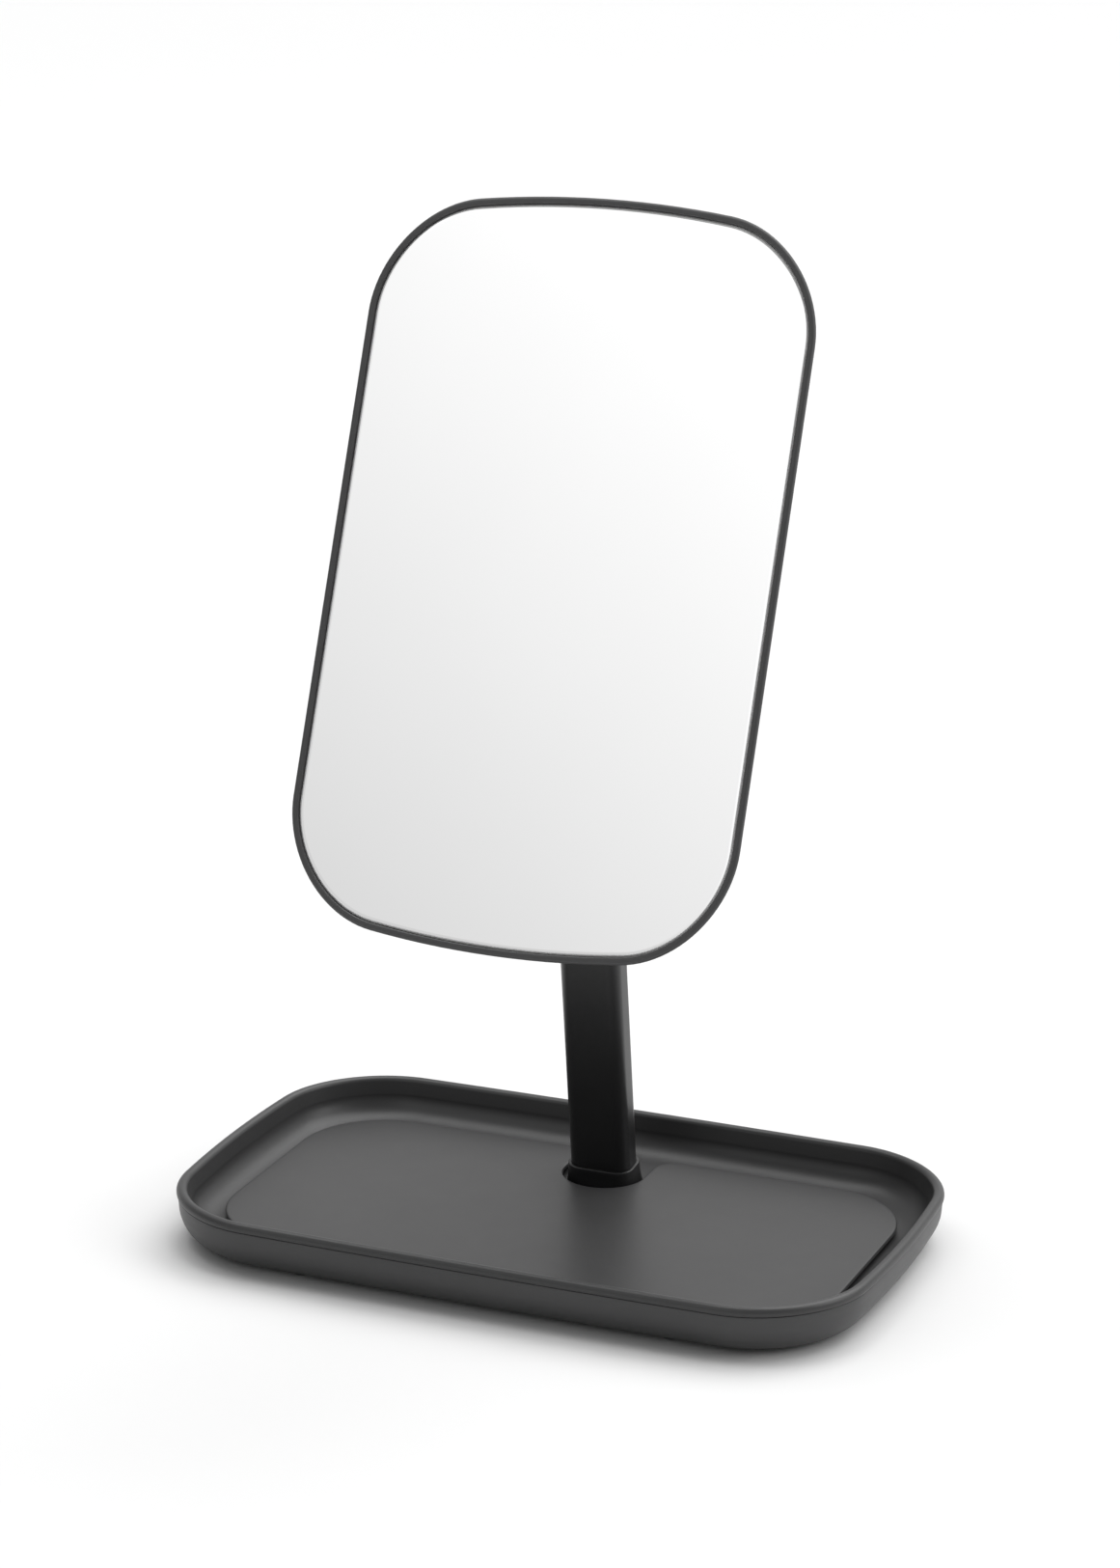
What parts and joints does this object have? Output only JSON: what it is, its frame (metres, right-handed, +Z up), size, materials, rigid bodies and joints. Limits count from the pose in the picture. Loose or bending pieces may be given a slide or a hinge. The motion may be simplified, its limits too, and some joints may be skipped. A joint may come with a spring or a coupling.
{
  "type": "tilting table mirror",
  "caption": "Free-standing table mirror: a rounded portrait glass on a friction hinge, carried by a leaning stem in a shallow storage tray with a lift-out mat.",
  "frame": {"origin": "on the surface that the feet stand on, under the middle of the tray", "axes": "+Z up, +X to the user's right along the tray, -Y towards the user who looks into the mirror"},
  "size_m": [0.25, 0.1502, 0.3488],
  "materials": {
    "tray_plastic": "soft-touch dark grey",
    "base_plastic": "soft-touch dark grey",
    "mat_plastic": "fine-grained grey",
    "foot_rubber": "matt",
    "steel": "zinc-plated",
    "socket_plastic": "matt",
    "stem_coating": "satin powder coat",
    "hinge_plastic": "matt",
    "washer_nylon": "natural",
    "back_plastic": "fine-grained dark grey",
    "foam_tape": "foam",
    "silvered_glass": "clear float glass, silvered behind, ground edge",
    "frame_plastic": "soft-touch grey"
  },
  "bodies": {
    "base": {"tray_shell": "tray_plastic", "base_shell": "base_plastic", "ballast_plate": "steel", "feet": "foot_rubber", "base_screws": "steel", "stem_socket": "socket_plastic", "stem": "stem_coating", "stem_foot_plug": "steel", "stem_bolt": "steel", "hinge_yoke": "hinge_plastic", "yoke_screws": "steel", "hinge_pin": "steel", "friction_washers": "washer_nylon", "spring_washer": "steel", "hinge_nut": "steel", "head_cap": "hinge_plastic", "nut_cap": "hinge_plastic"},
    "mirror": {"mirror_bracket": "hinge_plastic", "bracket_screws": "steel", "mirror_back": "back_plastic", "glass_adhesive": "foam_tape", "mirror_glass": "silvered_glass", "mirror_frame": "frame_plastic"},
    "mat": {"tray_mat": "mat_plastic"}
  },
  "joints": [
    {"name": "mirror_tilt", "type": "hinge", "parent": "base", "child": "mirror", "pos_m": [0, 0.01218, 0.22542], "axis": [1, 0, 0], "range_deg": [-45, 28]},
    {"name": "mat_lift", "type": "slide", "parent": "base", "child": "mat", "axis": [0, 0, 1], "range_m": [0, 0.03]}
  ]
}
